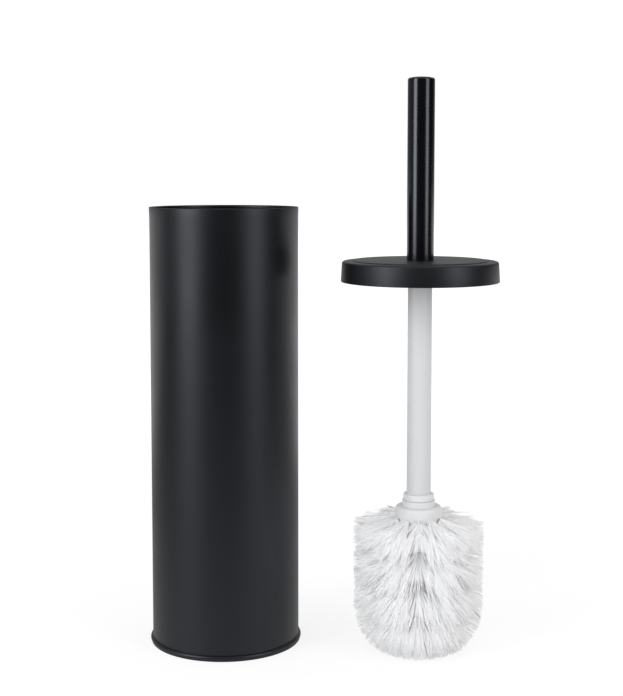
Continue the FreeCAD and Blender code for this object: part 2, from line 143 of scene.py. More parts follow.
class StageSettings(bpy.types.PropertyGroup):
    """The studio: floor, lamps and camera."""

    floor_size: bpy.props.FloatProperty(
        name="Floor", description="Side of the square floor", default=12.0, unit="LENGTH")
    camera_side: bpy.props.FloatProperty(
        name="Camera side", description="How far right of the middle the camera stands", default=-0.0059,
        unit="LENGTH")
    camera_away: bpy.props.FloatProperty(
        name="Camera distance", description="How far in front of the middle the camera stands",
        default=0.8367, unit="LENGTH")
    camera_height: bpy.props.FloatProperty(
        name="Camera height", description="Height of the camera above the floor", default=0.2895,
        unit="LENGTH")
    camera_tilt: bpy.props.FloatProperty(
        name="Camera tilt", description="How far the camera looks down", default=math.radians(5.02),
        subtype="ANGLE")
    camera_lens: bpy.props.FloatProperty(
        name="Lens", description="Focal length in millimetres", default=72.34)
    camera_shift: bpy.props.FloatProperty(
        name="Shift", description="Upward shift of the lens", default=-0.08)
    left_angle: bpy.props.FloatProperty(
        name="Left lamp angle", description="How far the left lamp stands round from the front",
        default=math.radians(-53), subtype="ANGLE")
    right_angle: bpy.props.FloatProperty(
        name="Right lamp angle", description="How far the right lamp stands round from the front",
        default=math.radians(51), subtype="ANGLE")
    left_width: bpy.props.FloatProperty(
        name="Left lamp width", description="Width of the left softbox", default=0.74, unit="LENGTH")
    right_width: bpy.props.FloatProperty(
        name="Right lamp width", description="Width of the right softbox", default=0.66, unit="LENGTH")
    lamp_height: bpy.props.FloatProperty(
        name="Lamp height", description="Height of both softboxes", default=1.5, unit="LENGTH")
    lamp_distance: bpy.props.FloatProperty(
        name="Lamp distance", description="How far away the lamps stand", default=1.6, unit="LENGTH")
    left_light: bpy.props.FloatProperty(
        name="Left lamp", description="Radiance of the left lamp, where 1 is white", default=4.4)
    right_light: bpy.props.FloatProperty(
        name="Right lamp", description="Radiance of the right lamp, where 1 is white", default=3.0)
    soft_light: bpy.props.FloatProperty(
        name="Soft light", description="Even light from all round, where 1 is white", default=0.78)


SETTINGS = {
    "toilet_brush_can": CanSettings,
    "toilet_brush_brush": BrushSettings,
    "toilet_brush_bristles": BristleSettings,
    "toilet_brush_stage": StageSettings,
}


# ---------------------------------------------------------------- places taken from the frame


class Turned:
    """Where a turned CAD node stands: its axis, outer radius, lowest and highest points."""

    def __init__(self, node):
        low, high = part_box(node)
        self.axis = Vector(((low.x + high.x) / 2, (low.y + high.y) / 2, 0))
        self.radius = (high.x - low.x) / 2
        self.bottom = low.z
        self.top = high.z


# ---------------------------------------------------------------- outlines and turned meshes


ON_AXIS = 1e-7
SHARP = math.radians(32)


def rounded(corners, steps=6):
    """An outline from (radius, height, corner radius) triples, with its corners turned into arcs."""
    outline = []
    for index, (across, up, bend) in enumerate(corners):
        here = Vector((across, up))
        if bend <= 0:
            outline.append(here)
            continue
        before = (Vector(corners[index - 1][:2]) - here).normalized()
        after = (Vector(corners[(index + 1) % len(corners)][:2]) - here).normalized()
        half = before.angle(after) / 2
        reach = bend / math.tan(half)
        centre = here + (before + after).normalized() * (bend / math.sin(half))
        start = here + before * reach - centre
        sweep = start.angle_signed(here + after * reach - centre)
        for step in range(steps + 1):
            outline.append(centre + Matrix.Rotation(-sweep * step / steps, 2) @ start)
    return outline


def even_angles(count, start=0.0):
    """That many angles, evenly round a full turn."""
    return [start + 2 * math.pi * index / count for index in range(count)]


def turned_mesh(name, axis, outline, angles, shape=None):
    """A closed outline of (radius, height) points turned about an upright axis.

    shape, if given, moves a point: it takes the angle, radius and height and returns the last two.
    """
    mesh = bmesh.new()
    rings = []
    for across, up in outline:
        if across < ON_AXIS:
            rings.append([mesh.verts.new(axis + Vector((0, 0, up)))])
            continue
        ring = []
        for angle in angles:
            radius, height = shape(angle, across, up) if shape else (across, up)
            place = Vector((radius * math.cos(angle), radius * math.sin(angle), height))
            ring.append(mesh.verts.new(axis + place))
        rings.append(ring)
    for ring, following in zip(rings, rings[1:] + rings[:1]):
        join_rings(mesh, ring, following)
    return with_sharp_edges(mesh, name)


def join_rings(mesh, ring, following):
    """Faces between two rings of points, either of which may be a single point on the axis."""
    count = max(len(ring), len(following))
    if count == 1:
        return
    for index in range(count):
        beyond = (index + 1) % count
        corners = [ring[index % len(ring)], ring[beyond % len(ring)],
                   following[beyond % len(following)], following[index % len(following)]]
        mesh.faces.new(list(dict.fromkeys(corners)))


def with_sharp_edges(mesh, name):
    """The mesh as a linked object, smooth but for its sharp edges, with its faces outwards."""
    bmesh.ops.recalc_face_normals(mesh, faces=mesh.faces)
    for edge in mesh.edges:
        if len(edge.link_faces) == 2:
            edge.smooth = edge.calc_face_angle() < SHARP
    return linked(mesh, name)


def linked(mesh, name):
    """The mesh, smooth, as an object in the scene."""
    for face in mesh.faces:
        face.smooth = True
    data = bpy.data.meshes.new(name)
    mesh.to_mesh(data)
    mesh.free()
    piece = bpy.data.objects.new(name, data)
    bpy.context.collection.objects.link(piece)
    return piece


def stands_for(piece, body, material, *nodes):
    """Give a piece its finish, its body and the CAD nodes that it stands for."""
    piece.data.materials.append(material)
    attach(piece, body)
    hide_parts(*nodes)


def finish_node(node, material):
    """Give a CAD node that stays in view its finish."""
    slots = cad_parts[node].material_slots
    if not slots:
        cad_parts[node].data.materials.append(material)
    for slot in slots:
        slot.material = material


# ---------------------------------------------------------------- finishes


class Nodes:
    """A short way to build a node tree: each call adds a node and wires what it is given."""

    def __init__(self, tree):
        self.tree = tree
        self.count = 0

    def add(self, kind, inputs=None, **settings):
        node = self.tree.nodes.new(kind)
        node.location = (220 * (self.count % 8) - 1400, -260 * (self.count // 8))
        self.count += 1
        for key, value in settings.items():
            setattr(node, key, value)
        for key, value in (inputs or {}).items():
            if isinstance(value, bpy.types.NodeSocket):
                self.tree.links.new(value, node.inputs[key])
            else:
                node.inputs[key].default_value = value
        return node

    def ramp(self, source, stops, smooth=False):
        """A grey ramp through (position, value) stops."""
        node = self.add("ShaderNodeValToRGB", {"Fac": source})
        if smooth:
            node.color_ramp.interpolation = "EASE"
        elements = node.color_ramp.elements
        while len(elements) < len(stops):
            elements.new(0.5)
        for element, (position, value) in zip(elements, stops):
            element.position = position
            element.color = (value, value, value, 1)
        return node.outputs["Color"]


def emptied(owner):
    """Clear the nodes of a material or world, and give the builder of new ones."""
    owner.use_nodes = True
    owner.node_tree.nodes.clear()
    return Nodes(owner.node_tree)


def new_group(name, inputs, outputs):
    """An empty shader node group with named float inputs and outputs."""
    tree = bpy.data.node_groups.new(name, "ShaderNodeTree")
    for label, value in inputs.items():
        socket = tree.interface.new_socket(label, in_out="INPUT", socket_type="NodeSocketFloat")
        socket.default_value = value
    for label in outputs:
        tree.interface.new_socket(label, in_out="OUTPUT", socket_type="NodeSocketFloat")
    return tree


def grain_group():
    """Fine lacquer grain: a height for bump and a slow patchiness for roughness and colour."""
    name = "Lacquer Grain"
    if name in bpy.data.node_groups:
        return bpy.data.node_groups[name]
    tree = new_group(name, {"Grain Scale": 1600.0, "Patch Scale": 22.0}, ("Height", "Patches"))
    build = Nodes(tree)
    given = build.add("NodeGroupInput")
    place = build.add("ShaderNodeTexCoord")
    grain = build.add("ShaderNodeTexNoise", {
        "Vector": place.outputs["Object"], "Scale": given.outputs["Grain Scale"], "Detail": 3.0,
        "Roughness": 0.6})
    patches = build.add("ShaderNodeTexNoise", {
        "Vector": place.outputs["Object"], "Scale": given.outputs["Patch Scale"], "Detail": 4.0,
        "Roughness": 0.55})
    build.add("NodeGroupOutput", {
        "Height": grain.outputs["Fac"], "Patches": patches.outputs["Fac"]})
    return tree


def dust_group():
    """A little settled dust: sparse pale specks, thicker on faces that look up."""
    name = "Settled Dust"
    if name in bpy.data.node_groups:
        return bpy.data.node_groups[name]
    tree = new_group(name, {"Scale": 900.0, "Amount": 0.2}, ("Mask",))
    build = Nodes(tree)
    given = build.add("NodeGroupInput")
    place = build.add("ShaderNodeTexCoord")
    surface = build.add("ShaderNodeNewGeometry")
    split = build.add("ShaderNodeSeparateXYZ", {"Vector": surface.outputs["Normal"]})
    upward = build.ramp(split.outputs["Z"], [(0.0, 0.15), (0.9, 1.0)])
    cells = build.add("ShaderNodeTexNoise", {
        "Vector": place.outputs["Object"], "Scale": given.outputs["Scale"], "Detail": 1.0})
    specks = build.ramp(cells.outputs["Fac"], [(0.66, 0.0), (0.74, 1.0)])
    both = build.add("ShaderNodeMath", {0: upward, 1: specks}, operation="MULTIPLY")
    mask = build.add(
        "ShaderNodeMath", {0: both.outputs[0], 1: given.outputs["Amount"]}, operation="MULTIPLY")
    build.add("NodeGroupOutput", {"Mask": mask.outputs[0]})
    return tree


def new_material(name):
    """A material with an empty Principled surface, and the builder of its nodes."""
    material = bpy.data.materials.new(name)
    build = emptied(material)
    shader = build.add("ShaderNodeBsdfPrincipled")
    build.add("ShaderNodeOutputMaterial", {"Surface": shader.outputs["BSDF"]})
    return material, build, shader


def colour_between(build, factor, first, second):
    """A colour that goes from the first to the second as the factor goes from 0 to 1."""
    mix = build.add("ShaderNodeMix", data_type="RGBA")
    build.tree.links.new(factor, mix.inputs["Factor"])
    mix.inputs["A"].default_value = (*first, 1)
    mix.inputs["B"].default_value = (*second, 1)
    return mix.outputs["Result"]


def wire(build, shader, **sockets):
    """Wire outputs to the shader's sockets, whose names are given with underscores."""
    for name, source in sockets.items():
        build.tree.links.new(source, shader.inputs[name.replace("_", " ")])


def scaled(colour, factor):
    """The colour made lighter or darker."""
    return tuple(min(1.0, part * factor) for part in colour)


def lacquer(name, colour, roughness, spread, grain_scale, grain_depth, dust=0.12):
    """Baked black lacquer on sheet steel: grained, patchy and lightly dusted."""
    material, build, shader = new_material(name)
    grain = build.add("ShaderNodeGroup", node_tree=grain_group())
    grain.inputs["Grain Scale"].default_value = grain_scale
    settled = build.add("ShaderNodeGroup", node_tree=dust_group())
    settled.inputs["Amount"].default_value = dust
    body = colour_between(build, grain.outputs["Patches"], scaled(colour, 0.85), scaled(colour, 1.2))
    dusted = build.add("ShaderNodeMix", data_type="RGBA")
    build.tree.links.new(settled.outputs["Mask"], dusted.inputs["Factor"])
    build.tree.links.new(body, dusted.inputs["A"])
    dusted.inputs["B"].default_value = DUST
    worn = build.ramp(grain.outputs["Patches"], [(0.3, roughness - spread), (0.7, roughness + spread)])
    bump = build.add("ShaderNodeBump", {
        "Height": grain.outputs["Height"], "Strength": 0.35, "Distance": grain_depth})
    wire(build, shader, Base_Color=dusted.outputs["Result"], Roughness=worn, Normal=bump.outputs["Normal"])
    shader.inputs["IOR"].default_value = 1.6
    shader.inputs["Specular Tint"].default_value = LACQUER_SHEEN
    return material


def moulded(name, colour, roughness, grain_scale=2200.0, grain_depth=0.00002):
    """Moulded plastic: faint flow patches and a fine spark-eroded skin."""
    material, build, shader = new_material(name)
    grain = build.add("ShaderNodeGroup", node_tree=grain_group())
    grain.inputs["Grain Scale"].default_value = grain_scale
    grain.inputs["Patch Scale"].default_value = 60.0
    body = colour_between(build, grain.outputs["Patches"], scaled(colour, 0.965), scaled(colour, 1.03))
    worn = build.ramp(grain.outputs["Patches"], [(0.3, roughness - 0.04), (0.7, roughness + 0.05)])
    bump = build.add("ShaderNodeBump", {
        "Height": grain.outputs["Height"], "Strength": 0.3, "Distance": grain_depth})
    wire(build, shader, Base_Color=body, Roughness=worn, Normal=bump.outputs["Normal"])
    return material


def bristle_material(name, colour):
    """Polished nylon filaments, each of its own slight shade."""
    material, build, shader = new_material(name)
    surface = build.add("ShaderNodeNewGeometry")
    shade = build.ramp(surface.outputs["Random Per Island"], [(0.0, 0.90), (0.5, 1.0)])
    tint = build.add("ShaderNodeMix", data_type="RGBA", blend_type="MULTIPLY")
    tint.inputs["Factor"].default_value = 1.0
    tint.inputs["A"].default_value = (*colour, 1)
    build.tree.links.new(shade, tint.inputs["B"])
    place = build.add("ShaderNodeTexCoord")
    fine = build.add("ShaderNodeTexNoise", {
        "Vector": place.outputs["Object"], "Scale": 700.0, "Detail": 2.0})
    gloss = build.ramp(fine.outputs["Fac"], [(0.3, 0.38), (0.7, 0.55)])
    bump = build.add("ShaderNodeBump", {
        "Height": fine.outputs["Fac"], "Strength": 0.2, "Distance": 0.00003})
    wire(build, shader, Base_Color=tint.outputs["Result"], Roughness=gloss, Normal=bump.outputs["Normal"])
    shader.inputs["Specular IOR Level"].default_value = 0.25
    let_light_through(build, shader)
    return material


def let_light_through(build, shader):
    """Nylon as thin as this passes the lamps' light on to the filaments behind it."""
    output = next(node for node in build.tree.nodes if node.type == "OUTPUT_MATERIAL")
    path = build.add("ShaderNodeLightPath")
    clear = build.add("ShaderNodeBsdfTransparent", {"Color": WHITE})
    mix = build.add("ShaderNodeMixShader", {
        0: path.outputs["Is Shadow Ray"], 1: shader.outputs["BSDF"], 2: clear.outputs["BSDF"]})
    build.tree.links.new(mix.outputs["Shader"], output.inputs["Surface"])


def rubber(name):
    """Soft black rubber with a dull, slightly bloomed skin."""
    return lacquer(name, RUBBER_BLACK, 0.7, 0.06, 1200.0, 0.00004, dust=0.3)


def steel(name):
    """Drawn steel wire and rod, with fine lines along it."""
    material, build, shader = new_material(name)
    place = build.add("ShaderNodeTexCoord")
    stretched = build.add("ShaderNodeMapping", {
        "Vector": place.outputs["Object"], "Scale": (2500.0, 2500.0, 60.0)})
    lines = build.add("ShaderNodeTexNoise", {
        "Vector": stretched.outputs["Vector"], "Scale": 1.0, "Detail": 4.0})
    body = colour_between(build, lines.outputs["Fac"], STEEL_DARK, STEEL_BRIGHT)
    worn = build.ramp(lines.outputs["Fac"], [(0.3, 0.25), (0.7, 0.42)])
    wire(build, shader, Base_Color=body, Roughness=worn)
    shader.inputs["Metallic"].default_value = 1.0
    return material


def material_named(name, maker, **settings):
    """The material of that name, made the first time it is asked for."""
    found = bpy.data.materials.get(name)
    return found or maker(name, **settings)


def can_lacquer(context):
    can = context.scene.toilet_brush_can
    return material_named(
        "Can Lacquer", lacquer, colour=tuple(can.colour), roughness=can.roughness, spread=0.03,
        grain_scale=1500.0, grain_depth=0.00002)


def lid_lacquer(context):
    brush = context.scene.toilet_brush_brush
    return material_named(
        "Lid Lacquer", lacquer, colour=tuple(brush.lid_colour), roughness=0.46, spread=0.03,
        grain_scale=1300.0, grain_depth=0.00006)


def handle_lacquer(context):
    brush = context.scene.toilet_brush_brush
    return material_named(
        "Handle Lacquer", lacquer, colour=tuple(brush.handle_colour), roughness=0.20, spread=0.02,
        grain_scale=1700.0, grain_depth=0.000006, dust=0.0)


def hub_plastic(context):
    brush = context.scene.toilet_brush_brush
    return material_named("Hub Plastic", moulded, colour=tuple(brush.hub_colour), roughness=0.42)


def stem_plastic(context):
    brush = context.scene.toilet_brush_brush
    return material_named("Stem Plastic", moulded, colour=tuple(brush.stem_colour), roughness=0.45)


def cup_plastic():
    return material_named(
        "Cup Plastic", moulded, colour=CUP_GREY, roughness=0.5, grain_scale=1400.0, grain_depth=0.00005)


def cap_plastic():
    return material_named("Cap Plastic", moulded, colour=CAP_BLACK, roughness=0.32)


# ---------------------------------------------------------------- the can


RIM_FLARE = 0.00025
FLARE_HEIGHT = 0.0035


class MakeCan(bpy.types.Operator):
    """Make the can's rolled shell, its seamed base pan and the foot ring"""

    bl_idname = "toilet_brush.make_can"
    bl_label = "Can"

    def execute(self, context):
        make_shell(context)
        make_base_pan(context)
        make_foot_ring()
        return {"FINISHED"}


def seam_angles(count, half_angle):
    """Angles round the can, with extra ones where the seam's edges are."""
    angles = even_angles(count, BACK + math.pi / count)
    extra = [BACK + half_angle * part for part in (-1.0, -0.6, -0.25, 0.25, 0.6, 1.0)]
    return sorted(angle % (2 * math.pi) for angle in angles + extra)


def make_shell(context):
    can = context.scene.toilet_brush_can
    shell = Turned("holder_shell")
    rim = shell.radius
    body = rim - RIM_FLARE
    hem = shell.top - can.rim_depth
    inside = body - can.wall
    rim_edge = 0.0005
    half_angle = can.seam_width / 2 / body

    def sink_seam(angle, across, up):
        """The weld up the back: a shallow flat groove in the outer face."""
        away = abs((angle - BACK + math.pi) % (2 * math.pi) - math.pi)
        on_the_weld = away < half_angle * 0.7 and up <= hem and across > inside + can.wall / 2
        return (across - can.seam_depth if on_the_weld else across), up

    outline = rounded([
        (inside, shell.bottom, 0),
        (body, shell.bottom, 0),
        (body, hem - FLARE_HEIGHT, 0),
        (rim, shell.top, rim_edge),
        (rim - can.rim_wall, shell.top, rim_edge),
        (rim - can.rim_wall, hem, 0.0002),
        (inside, hem - 0.0003, 0),
    ])
    piece = turned_mesh("can_shell", shell.axis, outline, seam_angles(224, half_angle), sink_seam)
    stands_for(piece, "holder", can_lacquer(context), "holder_shell")


def make_base_pan(context):
    pan = Turned("base_pan")
    shell = Turned("holder_shell")
    sheet = context.scene.toilet_brush_can.wall
    body = shell.radius - RIM_FLARE
    recess = pan.radius - 0.0026
    floor = pan.bottom + 0.0022
    web = shell.bottom
    bead_top = web + 0.0016
    outline = rounded([
        (0, floor, 0),
        (recess, floor, 0.0004),
        (recess, pan.bottom, 0.0003),
        (pan.radius, pan.bottom, 0.0011),
        (pan.radius, bead_top, 0.0012),
        (body, bead_top, 0),
        (body, web, 0),
        (body - sheet, web, 0),
        (body - sheet, floor + sheet, 0.0003),
        (0, floor + sheet, 0),
    ])
    piece = turned_mesh("can_base_pan", pan.axis, outline, even_angles(224))
    stands_for(piece, "holder", can_lacquer(context), "base_pan")


def make_foot_ring():
    ring = Turned("foot_ring")
    depth = ring.top - ring.bottom
    bore = ring.radius - 0.0023
    outline = rounded([
        (bore, ring.bottom, 0.0002),
        (ring.radius, ring.bottom, depth * 0.45),
        (ring.radius, ring.top, depth * 0.3),
        (bore, ring.top, 0),
    ], steps=4)
    piece = turned_mesh("can_foot_ring", ring.axis, outline, even_angles(160))
    stands_for(piece, "holder", material_named("Soft Ring Rubber", rubber), "foot_ring")


class MakeDripCup(bpy.types.Operator):
    """Make the loose drip cup that stands in the can"""

    bl_idname = "toilet_brush.make_drip_cup"
    bl_label = "Drip Cup"

    def execute(self, context):
        cup = Turned("drip_cup")
        wall = 0.0013
        foot = cup.radius - 0.0022
        body = cup.radius - 0.0007
        lip = cup.top - 0.002
        floor = cup.bottom + 0.0016
        outline = rounded([
            (0, cup.bottom, 0),
            (foot, cup.bottom, 0.0028),
            (body, lip, 0.0003),
            (cup.radius, lip, 0.0003),
            (cup.radius, cup.top, 0.0006),
            (body - wall, cup.top, 0.0005),
            (foot - wall, floor, 0.0018),
            (0, floor, 0),
        ])
        piece = turned_mesh("drip_cup_moulding", cup.axis, outline, even_angles(160))
        stands_for(piece, "cup", cup_plastic(), "drip_cup")
        return {"FINISHED"}


# ---------------------------------------------------------------- the brush


class MakeLid(bpy.types.Operator):
    """Make the lid, with its pressed plateau and its hemmed skirt, and finish its washer"""

    bl_idname = "toilet_brush.make_lid"
    bl_label = "Lid"

    def execute(self, context):
        brush = context.scene.toilet_brush_brush
        lid = Turned("lid")
        wall = brush.lid_wall
        hole = Turned("joining_stud").radius
        shoulder = lid.top - brush.plateau_rise
        top_radius = lid.radius - brush.lid_draft
        step = brush.plateau_rise
        hem = lid.bottom + 0.0012
        mouth = lid.radius - 0.0012
        outline = rounded([
            (mouth, lid.bottom, 0.0003),
            (lid.radius, lid.bottom, 0.0003),
            (top_radius, shoulder, brush.lid_corner),
            (brush.plateau_radius + step, shoulder, 0.0006),
            (brush.plateau_radius, lid.top, 0.0006),
            (hole, lid.top, 0),
            (hole, lid.top - wall, 0),
            (brush.plateau_radius - step, lid.top - wall, 0.0005),
            (brush.plateau_radius, shoulder - wall, 0.0005),
            (top_radius - wall, shoulder - wall, 0.0006),
            (lid.radius - wall, hem, 0.0002),
            (mouth, hem, 0),
        ])
        piece = turned_mesh("lid_pressing", lid.axis, outline, even_angles(224))
        stands_for(piece, "brush", lid_lacquer(context), "lid")
        finish_node("lid_washer", material_named("Soft Ring Rubber", rubber))
        return {"FINISHED"}


class MakeHandle(bpy.types.Operator):
    """Make the handle tube with its turned-in end, and the cap that shows in it"""

    bl_idname = "toilet_brush.make_handle"
    bl_label = "Handle"

    def execute(self, context):
        tube = Turned("handle_tube")
        cap = Turned("handle_cap")
        ledge = tube.top - 0.0016
        mouth = cap.radius * 0.83
        outline = rounded([
            (cap.radius, tube.bottom, 0),
            (tube.radius, tube.bottom, 0.0002),
            (tube.radius, tube.top, 0.0014),
            (mouth, tube.top, 0.0002),
            (mouth, ledge, 0),
            (cap.radius, ledge, 0),
        ], steps=8)
        piece = turned_mesh("handle_tube_drawn", tube.axis, outline, even_angles(128))
        stands_for(piece, "brush", handle_lacquer(context), "handle_tube")
        face = mouth - 0.0001
        rim_edge = 0.00025
        outline = rounded([
            (0, cap.bottom, 0),
            (cap.radius, cap.bottom, 0.0004),
            (cap.radius, ledge, 0),
            (face, ledge, 0),
            (face, cap.top - rim_edge, rim_edge),
            (face * 0.55, cap.top, 0.004),
            (0, cap.top, 0),
        ])
        piece = turned_mesh("handle_cap_moulding", cap.axis, outline, even_angles(96))
        stands_for(piece, "brush", cap_plastic(), "handle_cap")
        return {"FINISHED"}


class MakeStem(bpy.types.Operator):
    """Make the stem tube and the dimpled collar at its foot"""

    bl_idname = "toilet_brush.make_stem"
    bl_label = "Stem"

    def execute(self, context):
        stem = Turned("stem_tube")
        plug = Turned("stem_plug")
        outline = rounded([
            (plug.radius, stem.bottom, 0),
            (stem.radius, stem.bottom, 0.0002),
            (stem.radius, stem.top, 0.0002),
            (plug.radius, stem.top, 0),
        ], steps=3)
        piece = turned_mesh("stem_tube_extruded", stem.axis, outline, even_angles(128))
        stands_for(piece, "brush", stem_plastic(context), "stem_tube")
        make_collar(context, stem)
        return {"FINISHED"}


def make_collar(context, stem):
    """The collar: a spigot into the hub, a ring with a dimple in its front, and a core in the stem."""
    collar = Turned("stem_collar")
    head = Turned("head_hub")
    ring_bottom = head.top + 0.0001
    ring_top = ring_bottom + 0.0039
    chamfer = 0.0002
    spigot = 0.00795
    core = Turned("stem_plug").radius
    dimple_height = ring_bottom + 0.002
    dimple_radius = 0.0012
    dimple_depth = 0.00028

    def press_dimple(angle, across, up):
        """A round dimple in the front of the ring."""
        if across < collar.radius - chamfer:
            return across, up
        aside = ((angle - FRONT + math.pi) % (2 * math.pi) - math.pi) * across
        away = math.hypot(aside, up - dimple_height) / dimple_radius
        depth = dimple_depth * (1 - min(1.0, away) ** 4)
        return across - depth, up

    belt = [(collar.radius, ring_bottom + chamfer + 0.00018 * step, 0) for step in range(1, 15)]
    outline = rounded([
        (0, collar.bottom, 0),
        (spigot, collar.bottom, 0.0006),
        (spigot, ring_bottom, 0),
        (collar.radius - chamfer, ring_bottom, 0),
        (collar.radius, ring_bottom + chamfer, 0),
        *belt,
        (collar.radius, ring_top, 0.0007),
        (stem.radius, ring_top - 0.0001, 0),
        (stem.radius, stem.bottom, 0),
        (core, stem.bottom, 0),
        (core, collar.top, 0.0006),
        (0, collar.top, 0),
    ])
    angles = even_angles(120) + [FRONT + math.radians(part) for part in range(-9, 10)]
    angles = sorted(set(round(angle % (2 * math.pi), 5) for angle in angles))
    piece = turned_mesh("stem_collar_moulding", collar.axis, outline, angles, press_dimple)
    stands_for(piece, "brush", hub_plastic(context), "stem_collar")


class FinishHub(bpy.types.Operator):
    """Finish the head's moulded hub and the staples in its holes"""

    bl_idname = "toilet_brush.finish_hub"
    bl_label = "Hub"

    def execute(self, context):
        finish_node("head_hub", hub_plastic(context))
        finish_node("tuft_anchors", material_named("Drawn Steel", steel))
        return {"FINISHED"}


class FinishFittings(bpy.types.Operator):
    """Finish the fittings hidden in the handle and the stem"""

    bl_idname = "toilet_brush.finish_fittings"
    bl_label = "Hidden Fittings"

    def execute(self, context):
        finish_node("joining_stud", material_named("Drawn Steel", steel))
        finish_node("handle_insert", cup_plastic())
        finish_node("stem_plug", stem_plastic(context))
        return {"FINISHED"}


# ---------------------------------------------------------------- the bristles


class MakeBristles(bpy.types.Operator):
    """Fill the rows of side tufts and the end tufts with filaments"""

    bl_idname = "toilet_brush.make_bristles"
    bl_label = "Bristles"

    def execute(self, context):
        bristles = context.scene.toilet_brush_bristles
        finish = material_named("Bristle Nylon", bristle_material, colour=tuple(bristles.colour))
        shape = Envelope()
        for number, row in enumerate(ROWS):
            piece = make_row(bristles, shape, number, row)
            stands_for(piece, "brush_head", finish, "bristle_row_%d" % (number + 1))
        piece = make_end_tufts(bristles, shape)
        stands_for(piece, "brush_head", finish, "bristle_end_tufts")
        return {"FINISHED"}


class Envelope:
    """The outer shape that the bristles are trimmed to, on the brush's axis.

    It is upright down to the height of the turn, then rounds in to the flat at the bottom.
    """

    flat = 0.0185
    turn = 0.0297

    def __init__(self):
        hub = Turned("head_hub")
        self.axis = hub.axis
        self.hub_radius = hub.radius
        self.hub_bottom = hub.bottom
        self.radius = Turned("bristle_row_2").radius
        self.low = min(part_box("bristle_row_4")[0].z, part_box("bristle_end_tufts")[0].z)

    def inside(self, across, up):
        """How far a point lies inside, as a number below 1; above 1 it is outside."""
        if up >= self.low + self.turn:
            return across / self.radius
        drop = (self.low + self.turn - up) / self.turn
        if across <= self.flat:
            return drop
        aside = (across - self.flat) / (self.radius - self.flat)
        return math.hypot(aside, drop)

    def reach(self, root, direction):
        """How far a filament runs from its root before it meets the outer shape."""
        near, far = 0.0, FARTHEST
        for _ in range(HALVINGS):
            middle = (near + far) / 2
            point = root + direction * middle
            if self.inside(math.hypot(point.x, point.y), point.z) < 1:
                near = middle
            else:
                far = middle
        return near


FARTHEST = 0.06
HALVINGS = 22
# For each row: its height, and, in degrees, how far its straight filaments fall and how widely
# that scatters.
ROWS = (
    (0.0803, 2, 23),
    (0.0618, 4, 25),
    (0.0441, 6, 27),
    (0.0262, 12, 58),
)
# Every other tuft opens wide; the ones between stay narrow and scatter more. For each kind: how
# far it swings aside, how much further its swung filaments fall, and how much more it scatters.
TUFT_KINDS = (
    (math.radians(66), math.radians(27), 1.0),
    (math.radians(32), math.radians(16), 1.4),
)
SWING_SOFTNESS = math.radians(28)
# Cut to one length before they are folded, so the swung ones end short of the outer shape.
LONGEST_SWUNG = 0.0255
STRAIGHT_EXTRA = 0.0130
SHALLOWEST = math.radians(1)
CLUMPS = 18
MIDDLE_CROWDING = 1.35
HOLE_DEPTH = 0.0034
HOLE_RADIUS = 0.00205
END_RING = 0.0084
END_HOLE_DEPTH = 0.003
END_STRAIGHT = 0.0036


def unit(azimuth, fall):
    """A direction at an azimuth, pointing down by the fall."""
    level = math.cos(fall)
    return Vector((level * math.cos(azimuth), level * math.sin(azimuth), -math.sin(fall)))


def make_row(bristles, shape, number, row):
    """One row of tufts round the hub, by turns wide and narrow."""
    scatter = random.Random(bristles.seed + number)
    mesh = bmesh.new()
    for column in range(bristles.columns):
        azimuth = FRONT + bristles.column_turn + 2 * math.pi * column / bristles.columns
        side_tuft(mesh, bristles, shape, scatter, azimuth, row, TUFT_KINDS[column % 2])
    return strands(mesh, "row_%d_filaments" % (number + 1), shape)


def side_tuft(mesh, bristles, shape, scatter, azimuth, row, kind):
    """One tuft: folded over its staple, it opens like a ridge and falls as it swings aside."""
    height, level, spread = row
    widest, ridge, looser = kind
    outward = unit(azimuth, 0)
    across = Vector((-outward.y, outward.x, 0))
    root = outward * (shape.hub_radius - HOLE_DEPTH) + Vector((0, 0, height))
    clumps = [(swing_share(scatter), scatter.random()) for _ in range(CLUMPS)]
    for _ in range(bristles.filaments):
        swing, drop = clumped(scatter, clumps)
        turn = swing * widest
        scattered = math.radians(looser * spread * drop + scatter.gauss(0, 1.0))
        swung = ridge * (1 - math.exp(-abs(turn) / SWING_SOFTNESS))
        direction = unit(azimuth + turn, max(math.radians(level) + scattered + swung, SHALLOWEST))
        aside = across * (0.0015 * swing + scatter.uniform(-0.0006, 0.0006))
        above = Vector((0, 0, 0.0020 - 0.0024 * drop - 0.0016 * scatter.random()))
        offset = clipped(aside + above, HOLE_RADIUS)
        start = root + offset
        bend = start + offset * 0.3 + outward * (HOLE_DEPTH + scatter.uniform(0.0002, 0.0014))
        cut = LONGEST_SWUNG + (1 - abs(swing)) * STRAIGHT_EXTRA
        tip = bend + direction * min(cut, shape.reach(bend, direction)) * trimmed(scatter)
        sag = Vector((0, 0, -scatter.uniform(0.0, 0.0010)))
        filament(mesh, bristles, start, bend, tip, sag, scatter)


def clumped(scatter, clumps):
    """The swing and the drop of one filament, each from -1 or 0 to 1, drawn to its nearest clump."""
    swing, drop = swing_share(scatter), scatter.random()
    clump_swing, clump_drop = min(
        clumps, key=lambda clump: math.hypot(clump[0] - swing, (clump[1] - drop) * 0.8))
    pull = scatter.uniform(0.0, 0.65)
    return swing + (clump_swing - swing) * pull, drop + (clump_drop - drop) * pull


def swing_share(scatter):
    """How far one filament swings aside, from -1 to 1: more of them stay near the middle."""
    share = scatter.uniform(-1, 1)
    return math.copysign(abs(share) ** MIDDLE_CROWDING, share)


def trimmed(scatter):
    """How far along its full reach a filament is cut: most near it, a few well short."""
    return 1.0 - 0.035 * scatter.random() - 0.14 * scatter.random() ** 3


def clipped(offset, limit):
    """The offset, no longer than the limit."""
    return offset if offset.length <= limit else offset * (limit / offset.length)


